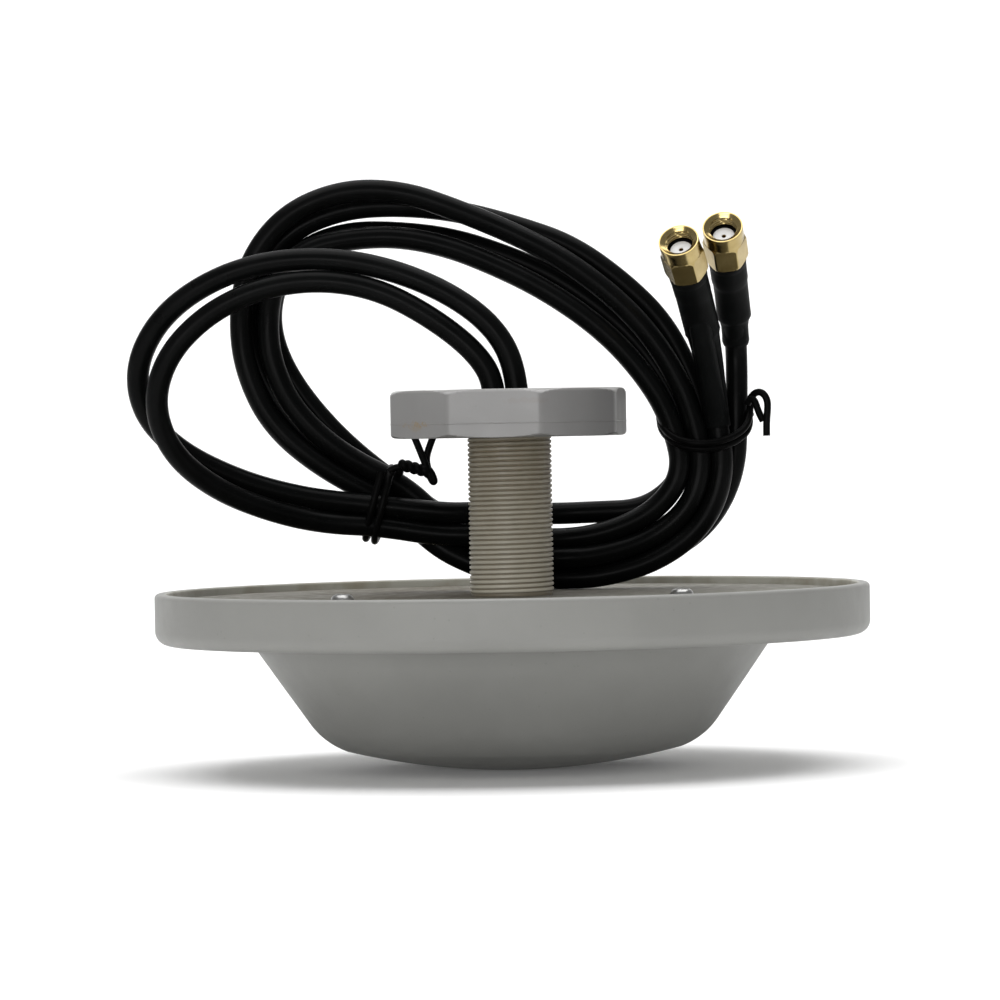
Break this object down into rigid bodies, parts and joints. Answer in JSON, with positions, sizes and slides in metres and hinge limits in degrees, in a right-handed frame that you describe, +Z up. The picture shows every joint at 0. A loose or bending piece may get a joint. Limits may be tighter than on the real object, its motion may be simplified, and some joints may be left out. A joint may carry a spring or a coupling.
{
  "type": "dome antenna",
  "caption": "Round dome antenna with a ground plate, a threaded stem, a lobed fixing nut and coaxial leads ending in screw connectors.",
  "frame": {"origin": "under the stem's axis, where the middle of the dome rests", "axes": "+Z up along the stem, away from the dome; +X to the right and +Y to the back, where the wound leads stand"},
  "size_m": [0.1721, 0.165, 0.138],
  "materials": {
    "radome_plastic": "satin moulded plastic, off-white",
    "plate_metal": "bright rolled sheet",
    "stem_plastic": "ivory moulded thread",
    "nut_plastic": "white moulded plastic",
    "screw_metal": "plain zinc",
    "board_laminate": "glass-fibre laminate with copper",
    "tin_plate": "tinned sheet",
    "lead_jacket": "black soft jacket, satin",
    "black_rubber": "black rubber",
    "tie_coating": "black plastic-coated wire",
    "gold_plate": "gold plating over brass",
    "white_insulator": "white fluoropolymer",
    "shrink_sleeve": "black heat-shrink sleeve"
  },
  "bodies": {
    "antenna": {"board_bracket_left": "tin_plate", "board_bracket_right": "tin_plate", "bracket_screws": "screw_metal", "centre_contact_left": "gold_plate", "centre_contact_right": "gold_plate", "connector_body_left": "gold_plate", "connector_body_right": "gold_plate", "crimp_ferrule_left": "gold_plate", "crimp_ferrule_right": "gold_plate", "feed_lug_left": "tin_plate", "feed_lug_right": "tin_plate", "gasket_left": "black_rubber", "gasket_right": "black_rubber", "ground_plate": "plate_metal", "heat_shrink_left": "shrink_sleeve", "heat_shrink_right": "shrink_sleeve", "inner_lead_left": "lead_jacket", "inner_lead_right": "lead_jacket", "insulator_left": "white_insulator", "insulator_right": "white_insulator", "isolation_strip": "tin_plate", "lead_coil": "lead_jacket", "lead_grommet": "black_rubber", "lead_loop_left": "lead_jacket", "lead_loop_right": "lead_jacket", "lead_tail_left": "lead_jacket", "lead_tail_right": "lead_jacket", "plate_screws": "screw_metal", "radiator_board_left": "board_laminate", "radiator_board_right": "board_laminate", "radome": "radome_plastic", "snap_ring_left": "gold_plate", "snap_ring_right": "gold_plate", "stem_lock_nut": "screw_metal", "threaded_stem": "stem_plastic", "twist_tie_left": "tie_coating", "twist_tie_right": "tie_coating"},
    "nut": {"fixing_nut": "nut_plastic"},
    "collar_left": {"coupling_nut_left": "gold_plate"},
    "collar_right": {"coupling_nut_right": "gold_plate"}
  },
  "joints": [
    {"name": "nut_travel", "type": "slide", "parent": "antenna", "child": "nut", "axis": [0, 0, 1], "range_m": [-0.036, 0]},
    {"name": "collar_turn_left", "type": "hinge", "parent": "antenna", "child": "collar_left", "pos_m": [0.0402, 0.011, 0.12135], "axis": [-0.195, -0.745, 0.638], "continuous": true},
    {"name": "collar_turn_right", "type": "hinge", "parent": "antenna", "child": "collar_right", "pos_m": [0.0507, 0.016, 0.12445], "axis": [-0.1102, -0.7662, 0.633], "continuous": true}
  ]
}
